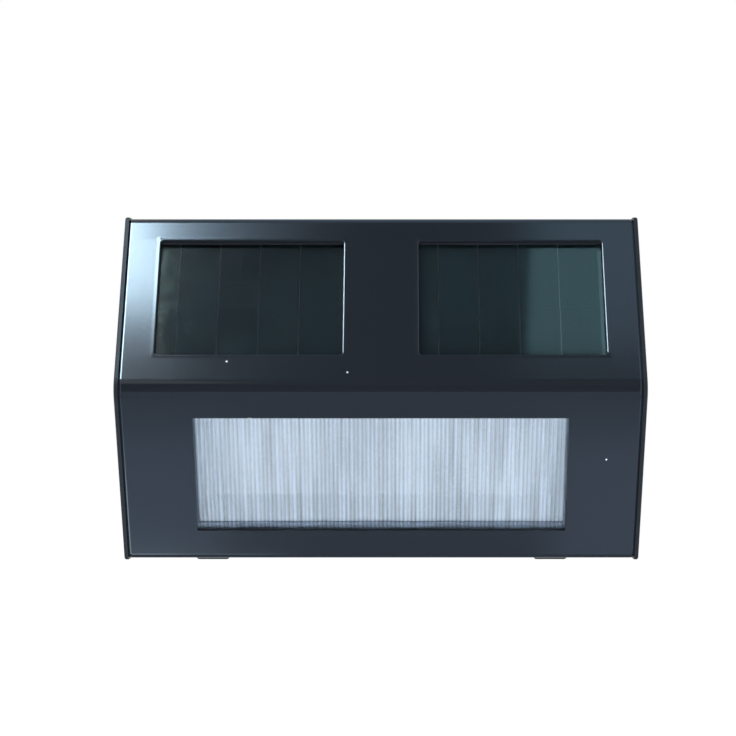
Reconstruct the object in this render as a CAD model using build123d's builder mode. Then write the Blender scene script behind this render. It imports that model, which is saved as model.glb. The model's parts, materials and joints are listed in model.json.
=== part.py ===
from build123d import *

import os

os.makedirs("parts", exist_ok=True)

# Solar fence light, in millimetres.
# X runs left to right seen from the front, the front faces -Y and +Z is up.
# The origin lies on the wall face, level with the bend of the cover.

# ------------------------------------------------------------ clearances
fit_gap = 0.15
loose_gap = 0.3
screw_gap = 0.05
pin_gap = 0.05

# ------------------------------------------------------------ folded cover
overall_width = 152.0
cover_height = 100.5
bend_reach = 45.0
top_reach = 16.0
bottom_reach = 18.0
sheet = 0.8
bend_radius = 6.0
fold_radius = 2.5
wall_setback = 0.5

# ------------------------------------------------------------ end caps
cap_wall = 1.2
cap_proud = 0.45
cap_corner_radius = 1.2
cap_edge_chamfer = 0.35
cap_rib_wall = 1.2
cap_rib_depth = 1.3
cap_boss_width = 6.4
cap_boss_length = 8.0
cap_web_wall = 2.4

# ------------------------------------------------------------ upper windows and solar panels
panel_window_margin = 11.0
panel_window_gap = 22.0
panel_window_length = 38.9
panel_window_rise = 11.4
panel_window_corner = 1.0
window_rim_depth = 1.7
window_rim_wall = 0.8
window_rim_chamfer = 0.6
panel_gasket_thickness = 0.4
panel_gasket_width = 1.2
glass_side_cover = 4.2
glass_length = 42.2
glass_thickness = 1.1
glass_edge_chamfer = 0.2
panel_shift = -3.0
cell_count = 5
cell_side_margin = 1.7
cell_scribe = 0.2
cell_thickness = 0.4
cell_margin = 1.2
cell_shift = -0.6
backing_thickness = 0.4
tray_floor = 1.6
tray_wall = 1.0
tray_lip = 0.3
tray_side_gap = 1.5
tray_border = 1.5

# ------------------------------------------------------------ lens and light box
lens_window_margin = 22.0
lens_window_length = 37.9
lens_window_drop = 9.6
lens_window_chamfer = 0.3
lens_gasket_thickness = 0.4
lens_gasket_width = 1.6
lens_side_cover = 2.4
lens_length = 42.0
lens_thickness = 1.85
reed_pitch = 1.2
reed_crest = 0.4
reed_height = 0.25
box_seal_thickness = 0.8
box_seal_side = 0.4
box_seal_foot = 1.4
flange_side = 0.6
flange_length = 43.0
flange_thickness = 1.2
box_mouth_side = 0.2
box_mouth_length = 36.6
box_side_draft = 4.3
box_floor_length = 27.0
box_depth = 7.5
box_wall = 1.2

# ------------------------------------------------------------ lamp board
led_count = 3
led_pitch = 28.0
led_width = 5.0
led_wall = 2.4
led_base_margin = 0.4
led_base_height = 0.8
led_length = 5.6
led_tip_chamfer = 0.5
led_window_gap = 0.25
led_inset = 4.6
led_board_drop = 4.8
led_board_width = 84.0
led_board_height = 8.0
board_thickness = 1.2
led_screw_spacing = 76.0

# ------------------------------------------------------------ back housing
plate_wall = 2.4
plate_corner = 1.5
skirt_wall = 1.6
skirt_depth = 12.0
skirt_inset = 1.5
seal_width = 2.4
seal_offset = 0.6
post_width = 3.6
tray_post_edge = 12.8
tray_post_z = 38.0
inner_post_x = 38.0
inner_post_z = 29.0
box_post_edge = 3.5
box_post_high = -11.0
box_post_low = -27.0
housing_screw_edge = 6.8
housing_screw_z = 26.0
screw_tube_width = 8.4
screw_head_radius = 2.75
screw_head_height = 1.8
screw_radius = 1.5
screw_length = 16.0
screw_recess_gap = 0.4
screw_drive_sides = 6
shank_sides = 8
hook_spacing = 101.0
hook_width = 9.8
hook_proud = 1.1
hook_start = 7.5
hook_length = 4.0
hook_land = 1.5
hook_tip = 0.9
hook_corner = 0.8
hook_slit = 0.8

# ------------------------------------------------------------ keyholes
keyhole_spacing = 100.0
keyhole_drop = 19.25
keyhole_radius = 4.0
keyhole_slot_width = 4.0
keyhole_rise = 7.0
pocket_width = 12.0
pocket_height = 16.0
pocket_depth = 5.2
pocket_wall = 1.4

# ------------------------------------------------------------ battery bay and door
cell_radius = 7.25
cell_length = 49.2
cell_nub_radius = 2.75
cell_nub_height = 1.3
cell_edge_chamfer = 0.5
battery_z = 14.5
bay_height = 17.0
bay_wall = 1.4
bay_ledge = 1.2
ledge_drop = 0.75
door_thickness = 2.0
door_gap = 0.25
door_seal_width = 0.9
door_pin_radius = 0.6
door_pin_length = 1.2
door_grip_width = 14.0
door_grip_height = 3.0
door_grip_depth = 0.8
door_tongue_width = 7.0
door_tongue_wall = 1.0
door_tongue_length = 3.0
door_tongue_clear = 1.0
contact_wall = 0.4
contact_width = 12.0
contact_tab_width = 3.0
contact_tab_reach = 1.4
spring_radius = 3.0
spring_wire = 0.35
spring_length = 7.3
spring_turns = 3
spring_steps = 12
wire_sides = 6

# ------------------------------------------------------------ control board and switch
board_width = 36.0
board_height = 20.0
board_x = 8.0
board_z = -22.0
board_standoff = 4.0
board_boss_width = 4.4
board_screw_inset = 3.0
small_screw_radius = 0.8
small_head_radius = 1.6
small_head_height = 1.1
small_screw_length = 4.0
parts_drop = 3.0
chip_offset_x = -10.0
capacitor_offset_x = -2.0
coil_offset_x = 6.0
chip_width = 5.0
chip_height = 4.0
chip_thickness = 1.6
chip_leg_pitch = 1.27
chip_leg_count = 4
chip_leg_width = 0.4
chip_leg_reach = 1.0
chip_leg_thickness = 0.25
coil_width = 6.4
coil_height = 4.8
coil_chamfer = 1.2
capacitor_radius = 2.5
capacitor_height = 5.6
switch_x = 14.0
switch_z = -22.0
switch_width = 9.0
switch_height = 4.6
switch_wall = 0.6
switch_back_gap = 0.6
switch_travel = 2.4
slider_base_width = 3.4
slider_base_height = 2.4
slider_base_wall = 1.0
slider_knob_width = 2.4
slider_knob_height = 1.6
slider_recess = 0.5
slider_side_gap = 0.3
finger_width = 12.0
finger_height = 6.0
finger_depth = 0.8

# ------------------------------------------------------------ leads
lead_radius = 0.6
lead_hole_radius = 1.3
lead_bend = 2.5
lead_pitch = 3.0
panel_pad_rise = 3.6
panel_pad_left = -16.0
panel_pad_right = 10.0
lead_pad_z = -14.0
left_lead_pad = -3.0
right_lead_pad = 6.0
led_lead_pad = 12.0
minus_lead_pad = -7.0
plus_lead_pad = 19.0
lead_drop_y = -22.0
lead_drop_z = -1.0
lead_end_run = 4.4

# ------------------------------------------------------------ planes of the two facets
half_height = cover_height / 2
bend_point = (0, -bend_reach, 0)
upper_face = Plane(
    origin=bend_point,
    x_dir=(1, 0, 0),
    z_dir=(0, -half_height, bend_reach - top_reach),
)
lower_face = Plane(
    origin=bend_point,
    x_dir=(1, 0, 0),
    z_dir=(0, -half_height, bottom_reach - bend_reach),
)
inner_height = cover_height - 2 * sheet
cover_length = overall_width - 2 * cap_wall
panel_window_width = (overall_width - panel_window_gap) / 2 - panel_window_margin
panel_window_spacing = panel_window_width + panel_window_gap
lens_window_width = overall_width - 2 * lens_window_margin
housing_screw_x = cover_length / 2 - housing_screw_edge
keyhole_z = half_height - keyhole_drop
outline_rear = 5.0


def side_outline(grow, x=0.0, fold=None):
    """The closed side outline of the light at one X, grown outwards and carried past the wall."""
    with BuildSketch(Plane.YZ.offset(x)) as outline:
        with BuildLine():
            Polyline(
                (outline_rear, half_height),
                (-top_reach, half_height),
                (-bend_reach, 0),
                (-bottom_reach, -half_height),
                (outline_rear, -half_height),
                close=True,
            )
        make_face()
        if grow:
            offset(amount=grow, kind=Kind.INTERSECTION)
        fillet(outline.vertices().sort_by(Axis.X)[0], bend_radius + grow)
        fold_corners = [v for v in outline.vertices() if -bend_reach / 2 < v.X < 0]
        fillet(fold_corners, fold if fold else fold_radius + grow)
    return outline.sketch


def window_edges(solid, face_plane):
    """The edges of the windows in the outer skin of one facet."""
    skin = solid.faces().sort_by(Axis(face_plane.origin, face_plane.z_dir))[-1]
    return [edge for wire in skin.inner_wires() for edge in wire.edges()]


# ------------------------------------------------------------ front cover
panel_window_y = panel_window_rise + panel_window_length / 2
lens_window_y = -(lens_window_drop + lens_window_length / 2)
hook_centre = hook_start + hook_length / 2

with BuildPart() as front_cover:
    extrude(side_outline(0), amount=cover_length / 2, both=True)
    extrude(side_outline(-sheet), amount=cover_length / 2, both=True, mode=Mode.SUBTRACT)
    with BuildSketch(Plane.XZ.offset(wall_setback)):
        Rectangle(overall_width, cover_height)
    extrude(amount=-2 * outline_rear, mode=Mode.SUBTRACT)
    with BuildSketch(upper_face.offset(-sheet / 2)):
        with Locations((0, panel_window_y)):
            with GridLocations(panel_window_spacing, 1, 2, 1):
                RectangleRounded(
                    panel_window_width + 2 * window_rim_wall,
                    panel_window_length + 2 * window_rim_wall,
                    panel_window_corner + window_rim_wall,
                )
    extrude(amount=sheet / 2 - window_rim_depth)
    with BuildSketch(upper_face):
        with Locations((0, panel_window_y)):
            with GridLocations(panel_window_spacing, 1, 2, 1):
                RectangleRounded(panel_window_width, panel_window_length, panel_window_corner)
    extrude(amount=-2 * window_rim_depth, mode=Mode.SUBTRACT)
    with BuildSketch(lower_face):
        with Locations((0, lens_window_y)):
            Rectangle(lens_window_width, lens_window_length)
    extrude(amount=-2 * sheet, mode=Mode.SUBTRACT)
    chamfer(window_edges(front_cover, upper_face), window_rim_chamfer)
    chamfer(window_edges(front_cover, lower_face), lens_window_chamfer)
    with BuildSketch(Plane.XY.offset(-half_height)):
        with Locations((0, -hook_centre)):
            with GridLocations(hook_spacing, 1, 2, 1):
                Rectangle(hook_width + 2 * loose_gap, hook_length + 2 * loose_gap)
    extrude(amount=sheet, mode=Mode.SUBTRACT)
front_cover.part.label = "front_cover"
export_step(front_cover.part, "parts/front_cover.step")

# ------------------------------------------------------------ end caps
cap_inner = cover_length / 2
cap_rib_outer = -(sheet + fit_gap)
cap_rib_rear = skirt_depth + cap_web_wall / 2
cap_boss_start = skirt_depth + fit_gap

with BuildPart() as right_end_cap:
    extrude(side_outline(cap_proud, cap_inner, cap_corner_radius), amount=cap_wall)
    chamfer(right_end_cap.faces().sort_by(Axis.X)[-1].edges(), cap_edge_chamfer)
    rib_start = cap_inner - cap_rib_depth
    rib_inner = cap_rib_outer - cap_rib_wall
    extrude(side_outline(cap_rib_outer, rib_start), amount=cap_rib_depth)
    extrude(side_outline(rib_inner, rib_start), amount=cap_rib_depth, mode=Mode.SUBTRACT)
    with BuildSketch(Plane.XZ.offset(cap_rib_rear)):
        with Locations((cap_inner - cap_rib_depth, 0)):
            Rectangle(2 * cap_rib_depth, inner_height)
    extrude(amount=-2 * cap_rib_rear, mode=Mode.SUBTRACT)
    with BuildSketch(Plane.XZ.offset(wall_setback)):
        Rectangle(2 * overall_width, 2 * cover_height)
    extrude(amount=-2 * outline_rear, mode=Mode.SUBTRACT)
    with BuildSketch(Plane.XZ.offset(cap_boss_start)):
        with Locations((housing_screw_x, -housing_screw_z), (housing_screw_x, housing_screw_z)):
            Rectangle(cap_boss_width, cap_boss_width)
        for web_z in (-housing_screw_z, housing_screw_z):
            with Locations(((housing_screw_x + cap_inner) / 2, web_z)):
                Rectangle(cap_inner - housing_screw_x, cap_web_wall)
        with Locations((housing_screw_x, -housing_screw_z), (housing_screw_x, housing_screw_z)):
            Circle(screw_radius + screw_gap, mode=Mode.SUBTRACT)
    extrude(amount=cap_boss_length)
right_end_cap.part.label = "right_end_cap"
export_step(right_end_cap.part, "parts/right_end_cap.step")

with BuildPart() as left_end_cap:
    mirror(right_end_cap.part, about=Plane.YZ)
left_end_cap.part.label = "left_end_cap"
export_step(left_end_cap.part, "parts/left_end_cap.step")

# ------------------------------------------------------------ solar panels, one behind each upper window
gasket_depth = window_rim_depth
glass_depth = gasket_depth + panel_gasket_thickness
cells_depth = glass_depth + glass_thickness
backing_depth = cells_depth + cell_thickness
tray_depth = backing_depth + backing_thickness
glass_width = panel_window_width + 2 * glass_side_cover
cell_pitch = (glass_width - 2 * cell_side_margin) / cell_count
cell_length_along = glass_length - 2 * cell_margin
window_x = panel_window_spacing / 2
panel_centres = [(x + panel_shift, panel_window_y) for x in (-window_x, window_x)]

for side, x, panel_centre in zip(("left", "right"), (-window_x, window_x), panel_centres):
    with BuildPart() as solar_glass:
        with BuildSketch(upper_face.offset(-glass_depth)):
            with Locations(panel_centre):
                Rectangle(glass_width, glass_length)
        extrude(amount=-glass_thickness)
        front_skin = solar_glass.faces().sort_by(Axis(upper_face.origin, upper_face.z_dir))[-1]
        chamfer(front_skin.edges(), glass_edge_chamfer)
    solar_glass.part.label = f"{side}_solar_glass"
    export_step(solar_glass.part, f"parts/{side}_solar_glass.step")

    with BuildPart() as solar_cells:
        with BuildSketch(upper_face.offset(-cells_depth)):
            with Locations((panel_centre[0] + cell_shift, panel_centre[1])):
                with GridLocations(cell_pitch, 1, cell_count, 1):
                    Rectangle(cell_pitch - cell_scribe, cell_length_along)
        extrude(amount=-cell_thickness)
    solar_cells.part.label = f"{side}_solar_cells"
    export_step(solar_cells.part, f"parts/{side}_solar_cells.step")

    with BuildPart() as solar_backing:
        with BuildSketch(upper_face.offset(-backing_depth)):
            with Locations(panel_centre):
                Rectangle(glass_width, glass_length)
        extrude(amount=-backing_thickness)
    solar_backing.part.label = f"{side}_solar_backing"
    export_step(solar_backing.part, f"parts/{side}_solar_backing.step")

    with BuildPart() as panel_gasket:
        with BuildSketch(upper_face.offset(-gasket_depth)):
            with Locations((x, panel_window_y)):
                Rectangle(
                    panel_window_width + 2 * panel_gasket_width,
                    panel_window_length + 2 * panel_gasket_width,
                )
                Rectangle(panel_window_width, panel_window_length, mode=Mode.SUBTRACT)
        extrude(amount=-panel_gasket_thickness)
    panel_gasket.part.label = f"{side}_panel_gasket"
    export_step(panel_gasket.part, f"parts/{side}_panel_gasket.step")

# ------------------------------------------------------------ panel tray
pad_y = panel_window_y - glass_length / 2 + panel_pad_rise
pad_slots = [(pad + lead_pitch / 2, pad_y) for pad in (panel_pad_left, panel_pad_right)]
pocket_outer_width = glass_width + 2 * (fit_gap + tray_wall)
pocket_outer_length = glass_length + 2 * (fit_gap + tray_wall)
tray_width = cover_length - 2 * tray_side_gap
tray_length = pocket_outer_length + 2 * tray_border

with BuildPart() as panel_tray:
    with BuildSketch(upper_face.offset(-tray_depth)):
        with Locations((0, panel_window_y)):
            Rectangle(tray_width, tray_length)
        with Locations(*pad_slots):
            Rectangle(lead_pitch + 2 * lead_hole_radius, 2 * lead_hole_radius, mode=Mode.SUBTRACT)
    extrude(amount=-tray_floor)
    with BuildSketch(upper_face.offset(-tray_depth)):
        with Locations(*panel_centres):
            Rectangle(pocket_outer_width, pocket_outer_length)
        with Locations(*panel_centres):
            Rectangle(glass_width + 2 * fit_gap, glass_length + 2 * fit_gap, mode=Mode.SUBTRACT)
    extrude(amount=tray_depth - glass_depth - tray_lip)
panel_tray.part.label = "panel_tray"
export_step(panel_tray.part, "parts/panel_tray.step")
tray_rear = upper_face.offset(-(tray_depth + tray_floor))

# ------------------------------------------------------------ reeded lens
lens_gasket_depth = sheet
lens_depth = lens_gasket_depth + lens_gasket_thickness
box_seal_depth = lens_depth + lens_thickness
lens_foot = Plane(
    origin=lower_face.from_local_coords((0, lens_window_y - lens_length / 2, -lens_depth)),
    x_dir=(1, 0, 0),
    z_dir=lower_face.y_dir,
)
lens_width = lens_window_width + 2 * lens_side_cover
reed_count = round(lens_window_width / reed_pitch) + 1
reed_start = -reed_pitch * reed_count / 2
reed_flank = (reed_pitch - reed_crest) / 2
valleys = [reed_start + reed * reed_pitch for reed in range(reed_count)]

with BuildPart() as lens:
    with BuildSketch(lens_foot):
        with BuildLine():
            for valley in valleys:
                Polyline(
                    (valley, reed_height),
                    (valley + reed_flank, 0),
                    (valley + reed_flank + reed_crest, 0),
                    (valley + reed_pitch, reed_height),
                )
            Polyline(
                (-reed_start, reed_height),
                (-reed_start, 0),
                (lens_width / 2, 0),
                (lens_width / 2, lens_thickness),
                (-lens_width / 2, lens_thickness),
                (-lens_width / 2, 0),
                (reed_start, 0),
                (reed_start, reed_height),
            )
        make_face()
    extrude(amount=lens_length)
lens.part.label = "lens"
export_step(lens.part, "parts/lens.step")

with BuildPart() as lens_gasket:
    with BuildSketch(lower_face.offset(-lens_gasket_depth)):
        with Locations((0, lens_window_y)):
            Rectangle(
                lens_window_width + 2 * lens_gasket_width,
                lens_window_length + 2 * lens_gasket_width,
            )
            Rectangle(lens_window_width, lens_window_length, mode=Mode.SUBTRACT)
    extrude(amount=-lens_gasket_thickness)
lens_gasket.part.label = "lens_gasket"
export_step(lens_gasket.part, "parts/lens_gasket.step")

# ------------------------------------------------------------ foam behind the lens, wider along its foot
seal_mouth_width = lens_window_width - 2 * box_seal_side
seal_mouth_length = lens_window_length - box_seal_side - box_seal_foot
seal_mouth_y = lens_window_y + (box_seal_foot - box_seal_side) / 2
box_mouth_y = lens_window_y

with BuildPart() as light_box_seal:
    with BuildSketch(lower_face.offset(-box_seal_depth)):
        with Locations((0, lens_window_y)):
            Rectangle(lens_width, lens_length)
        with Locations((0, seal_mouth_y)):
            Rectangle(seal_mouth_width, seal_mouth_length, mode=Mode.SUBTRACT)
    extrude(amount=-box_seal_thickness)
light_box_seal.part.label = "light_box_seal"
export_step(light_box_seal.part, "parts/light_box_seal.step")

# ------------------------------------------------------------ reflector
flange_depth = box_seal_depth + box_seal_thickness
box_floor_depth = flange_depth + box_depth
box_rear_depth = box_floor_depth + box_wall
box_floor_y = seal_mouth_y
flange_width = lens_width + 2 * flange_side
box_mouth_width = lens_window_width - 2 * box_mouth_side
box_floor_width = box_mouth_width - 2 * box_side_draft
led_depth = flange_depth + led_inset
led_plane = Plane(
    origin=lower_face.from_local_coords((0, -led_board_drop, -led_depth)),
    x_dir=(1, 0, 0),
    z_dir=-lower_face.y_dir,
)
led_reach = board_thickness + led_base_height + led_length
led_boss_end = -lens_window_y - box_mouth_length / 2 - led_board_drop

with BuildPart() as reflector:
    with BuildSketch(lower_face.offset(-flange_depth)):
        with Locations((0, lens_window_y)):
            Rectangle(flange_width, flange_length)
    extrude(amount=-flange_thickness)
    with BuildSketch(lower_face.offset(-flange_depth)):
        with Locations((0, box_mouth_y)):
            Rectangle(box_mouth_width + 2 * box_wall, box_mouth_length + 2 * box_wall)
    with BuildSketch(lower_face.offset(-box_rear_depth)):
        with Locations((0, box_floor_y)):
            Rectangle(box_floor_width + 2 * box_wall, box_floor_length + 2 * box_wall)
    loft(ruled=True)
    with BuildSketch(led_plane.offset(board_thickness)):
        with GridLocations(led_screw_spacing, 1, 2, 1):
            Rectangle(board_boss_width, board_boss_width)
    extrude(amount=led_boss_end)
    with BuildSketch(lower_face.offset(-flange_depth)):
        with Locations((0, box_mouth_y)):
            Rectangle(box_mouth_width, box_mouth_length)
    with BuildSketch(lower_face.offset(-box_floor_depth)):
        with Locations((0, box_floor_y)):
            Rectangle(box_floor_width, box_floor_length)
    loft(ruled=True, mode=Mode.SUBTRACT)
    with BuildSketch(led_plane):
        with GridLocations(led_pitch, 1, led_count, 1):
            Rectangle(led_width + 2 * led_window_gap, led_wall + 2 * led_window_gap)
    extrude(amount=2 * led_reach, mode=Mode.SUBTRACT)
    with BuildSketch(led_plane):
        with GridLocations(led_screw_spacing, 1, 2, 1):
            Circle(small_screw_radius + screw_gap)
    extrude(amount=small_screw_length, mode=Mode.SUBTRACT)
reflector.part.label = "reflector"
export_step(reflector.part, "parts/reflector.step")
box_rear = lower_face.offset(-box_rear_depth)

# ------------------------------------------------------------ lamp board, lamps and screws
with BuildPart() as led_board:
    with BuildSketch(led_plane):
        Rectangle(led_board_width, led_board_height)
        with GridLocations(led_screw_spacing, 1, 2, 1):
            Circle(small_screw_radius + screw_gap, mode=Mode.SUBTRACT)
    extrude(amount=board_thickness)
led_board.part.label = "led_board"
export_step(led_board.part, "parts/led_board.step")

with BuildPart() as leds:
    with BuildSketch(led_plane.offset(board_thickness)):
        with GridLocations(led_pitch, 1, led_count, 1):
            Rectangle(led_width + 2 * led_base_margin, led_wall + 2 * led_base_margin)
    extrude(amount=led_base_height)
    with BuildSketch(led_plane.offset(board_thickness + led_base_height)):
        with GridLocations(led_pitch, 1, led_count, 1):
            Rectangle(led_width, led_wall)
    extrude(amount=led_length)
    led_tips = leds.faces().group_by(Axis(led_plane.origin, led_plane.z_dir))[-1]
    chamfer(led_tips.edges(), led_tip_chamfer)
leds.part.label = "leds"
export_step(leds.part, "parts/leds.step")

with BuildPart() as led_board_screws:
    with BuildSketch(led_plane):
        with GridLocations(led_screw_spacing, 1, 2, 1):
            Circle(small_head_radius)
    extrude(amount=-small_head_height)
    with BuildSketch(led_plane):
        with GridLocations(led_screw_spacing, 1, 2, 1):
            RegularPolygon(small_screw_radius, shank_sides)
    extrude(amount=small_screw_length - screw_gap)
led_board_screws.part.label = "led_board_screws"
export_step(led_board_screws.part, "parts/led_board_screws.step")

# ------------------------------------------------------------ back housing
plate_width = cover_length - 2 * loose_gap
plate_height = inner_height - 2 * loose_gap
skirt_width = cover_length - 2 * skirt_inset
skirt_height = inner_height - 2 * skirt_inset
seal_start = plate_wall + seal_offset
bay_length = cell_length + cell_nub_height + spring_length + 2 * contact_wall
bay_rim = plate_wall + ledge_drop
opening_width = bay_length + 2 * bay_ledge
opening_height = bay_height + 2 * bay_ledge
bay_outer_width = opening_width + 2 * bay_wall
bay_outer_height = opening_height + 2 * bay_wall
cell_rear = bay_rim + loose_gap
battery_y = cell_rear + cell_radius
bay_floor = battery_y + cell_radius + loose_gap
bay_front = bay_floor + bay_wall
hinge_z = battery_z + opening_height / 2 - door_gap - door_thickness / 2
hinge_depth = door_thickness / 2
keyhole_places = [(side * keyhole_spacing / 2, keyhole_z) for side in (-1, 1)]
slot_places = [(side * keyhole_spacing / 2, keyhole_z + keyhole_rise / 2) for side in (-1, 1)]
tray_post_x = cover_length / 2 - tray_post_edge
box_post_x = box_floor_width / 2 - box_post_edge
screw_places = [
    (x, z)
    for x in (-housing_screw_x, housing_screw_x)
    for z in (-housing_screw_z, housing_screw_z)
]
board_screw_places = [
    (board_x - board_width / 2 + board_screw_inset, board_z - board_height / 2 + board_screw_inset),
    (board_x + board_width / 2 - board_screw_inset, board_z + board_height / 2 - board_screw_inset),
]
tray_post_places = [
    (side * x, z)
    for side in (-1, 1)
    for x, z in ((tray_post_x, tray_post_z), (inner_post_x, inner_post_z))
]
box_post_places = [(side * box_post_x, z) for side in (-1, 1) for z in (box_post_high, box_post_low)]
board_rear = plate_wall + board_standoff
board_front = board_rear + board_thickness
contact_x = bay_length / 2 - contact_wall / 2
contact_tab_z = battery_z - contact_width / 4
knob_slot_width = slider_knob_width + switch_travel + 2 * slider_side_gap
knob_slot_height = slider_knob_height + 2 * slider_side_gap
hook_root = skirt_height / 2
hook_foot = half_height + hook_proud

with BuildPart() as tray_posts:
    with BuildSketch(Plane.XZ.offset(plate_wall / 2)):
        with Locations(*tray_post_places):
            Rectangle(post_width, post_width)
    extrude(amount=bend_reach)
    split(bisect_by=tray_rear, keep=Keep.BOTTOM)

with BuildPart() as box_posts:
    with BuildSketch(Plane.XZ.offset(plate_wall / 2)):
        with Locations(*box_post_places):
            Rectangle(post_width, post_width)
    extrude(amount=bend_reach)
    split(bisect_by=box_rear, keep=Keep.BOTTOM)

with BuildPart() as back_housing:
    with BuildSketch(Plane.XZ):
        RectangleRounded(plate_width, plate_height, plate_corner)
    extrude(amount=plate_wall)
    with BuildSketch(Plane.XZ.offset(plate_wall)):
        Rectangle(skirt_width, skirt_height)
        Rectangle(skirt_width - 2 * skirt_wall, skirt_height - 2 * skirt_wall, mode=Mode.SUBTRACT)
        with Locations(*screw_places):
            Rectangle(screw_tube_width, screw_tube_width)
    extrude(amount=skirt_depth - plate_wall)
    with BuildSketch(Plane.XZ.offset(plate_wall)):
        with Locations((0, battery_z)):
            Rectangle(bay_outer_width, bay_outer_height)
    extrude(amount=bay_front - plate_wall)
    with BuildSketch(Plane.XZ.offset(plate_wall)):
        with Locations(*slot_places):
            Rectangle(pocket_width + 2 * pocket_wall, pocket_height + 2 * pocket_wall)
    extrude(amount=pocket_depth + pocket_wall)
    with BuildSketch(Plane.XZ.offset(plate_wall)):
        with Locations(*board_screw_places):
            Rectangle(board_boss_width, board_boss_width)
    extrude(amount=board_standoff)
    add(tray_posts.part)
    add(box_posts.part)
    # battery bay: the door's opening, then the narrower bay behind its ledge
    with BuildSketch(Plane.XZ):
        with Locations((0, battery_z)):
            Rectangle(opening_width, opening_height)
    extrude(amount=bay_rim, mode=Mode.SUBTRACT)
    with BuildSketch(Plane.XZ):
        with Locations((0, battery_z)):
            Rectangle(bay_length, bay_height)
    extrude(amount=bay_floor, mode=Mode.SUBTRACT)
    with BuildSketch(Plane.YZ):
        with Locations((-hinge_depth, hinge_z)):
            Circle(door_pin_radius + pin_gap)
    extrude(amount=opening_width / 2 + door_pin_length + pin_gap, both=True, mode=Mode.SUBTRACT)
    with BuildSketch(Plane.XZ):
        with Locations((0, battery_z - opening_height / 2)):
            SlotOverall(door_grip_width, 2 * door_grip_height)
    extrude(amount=door_grip_depth, mode=Mode.SUBTRACT)
    with BuildSketch(Plane.XZ.offset(bay_floor)):
        with Locations(*[(side * contact_x, contact_tab_z) for side in (-1, 1)]):
            Rectangle(2 * (contact_wall + fit_gap), contact_tab_width + 2 * loose_gap)
    extrude(amount=bay_wall, mode=Mode.SUBTRACT)
    # keyholes and the pockets behind them
    with BuildSketch(Plane.XZ.offset(plate_wall)):
        with Locations(*slot_places):
            Rectangle(pocket_width, pocket_height)
    extrude(amount=pocket_depth, mode=Mode.SUBTRACT)
    with BuildSketch(Plane.XZ):
        with Locations(*keyhole_places):
            Circle(keyhole_radius)
        with Locations(*slot_places):
            SlotCenterToCenter(keyhole_rise, keyhole_slot_width, rotation=90)
    extrude(amount=plate_wall, mode=Mode.SUBTRACT)
    # case screws and board screws
    with BuildSketch(Plane.XZ):
        with Locations(*screw_places):
            Circle(screw_radius + fit_gap)
    extrude(amount=skirt_depth, mode=Mode.SUBTRACT)
    with BuildSketch(Plane.XZ):
        with Locations(*screw_places):
            Circle(screw_head_radius + loose_gap)
    extrude(amount=screw_recess_gap + screw_head_height, mode=Mode.SUBTRACT)
    with BuildSketch(Plane.XZ.offset(board_rear)):
        with Locations(*board_screw_places):
            Circle(small_screw_radius + screw_gap)
    extrude(amount=-board_standoff, mode=Mode.SUBTRACT)
    # switch slot in its finger recess
    with BuildSketch(Plane.XZ):
        with Locations((switch_x, switch_z)):
            SlotOverall(finger_width, finger_height)
    extrude(amount=finger_depth, mode=Mode.SUBTRACT)
    with BuildSketch(Plane.XZ):
        with Locations((switch_x, switch_z)):
            Rectangle(knob_slot_width, knob_slot_height)
    extrude(amount=plate_wall, mode=Mode.SUBTRACT)
    # snap hooks on tongues cut free in the bottom skirt
    with BuildSketch(Plane.XZ.offset(hook_start - 2 * hook_slit)):
        for side in (-1, 1):
            for edge in (-1, 1):
                slit_x = side * hook_spacing / 2 + edge * (hook_width + hook_slit) / 2
                with Locations((slit_x, skirt_wall / 2 - hook_root)):
                    Rectangle(hook_slit, 2 * skirt_wall)
    extrude(amount=skirt_depth, mode=Mode.SUBTRACT)
    for side in (-1, 1):
        with BuildSketch(Plane.YZ.offset(side * hook_spacing / 2 - hook_width / 2)):
            with BuildLine():
                Polyline(
                    (-hook_start, -hook_root + hook_tip),
                    (-hook_start, -hook_foot),
                    (-hook_start - hook_land, -hook_foot),
                    (-hook_start - hook_length, -hook_root - hook_tip),
                    (-hook_start - hook_length, -hook_root + hook_tip),
                    close=True,
                )
            make_face()
        extrude(amount=hook_width)
    fillet(back_housing.edges().filter_by(Axis.Y).group_by(Axis.Z)[0], hook_corner)
back_housing.part.label = "back_housing"
export_step(back_housing.part, "parts/back_housing.step")

with BuildPart() as housing_seal:
    with BuildSketch(Plane.XZ.offset(seal_start)):
        Rectangle(cover_length, inner_height)
        Rectangle(skirt_width, skirt_height, mode=Mode.SUBTRACT)
    extrude(amount=seal_width)
housing_seal.part.label = "housing_seal"
export_step(housing_seal.part, "parts/housing_seal.step")

with BuildPart() as back_screws:
    with BuildSketch(Plane.XZ.offset(screw_recess_gap)):
        with Locations(*screw_places):
            Circle(screw_head_radius)
            RegularPolygon(screw_radius, screw_drive_sides, mode=Mode.SUBTRACT)
    extrude(amount=screw_head_height)
    with BuildSketch(Plane.XZ.offset(screw_recess_gap + screw_head_height / 2)):
        with Locations(*screw_places):
            RegularPolygon(screw_radius, shank_sides)
    extrude(amount=screw_length + screw_head_height / 2)
back_screws.part.label = "back_screws"
export_step(back_screws.part, "parts/back_screws.step")

# ------------------------------------------------------------ battery door on its two stub pins
door_width = opening_width - 2 * door_gap
door_foot = battery_z - opening_height / 2 + door_gap
tongue_z = battery_z - bay_height / 2 + door_tongue_clear

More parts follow.
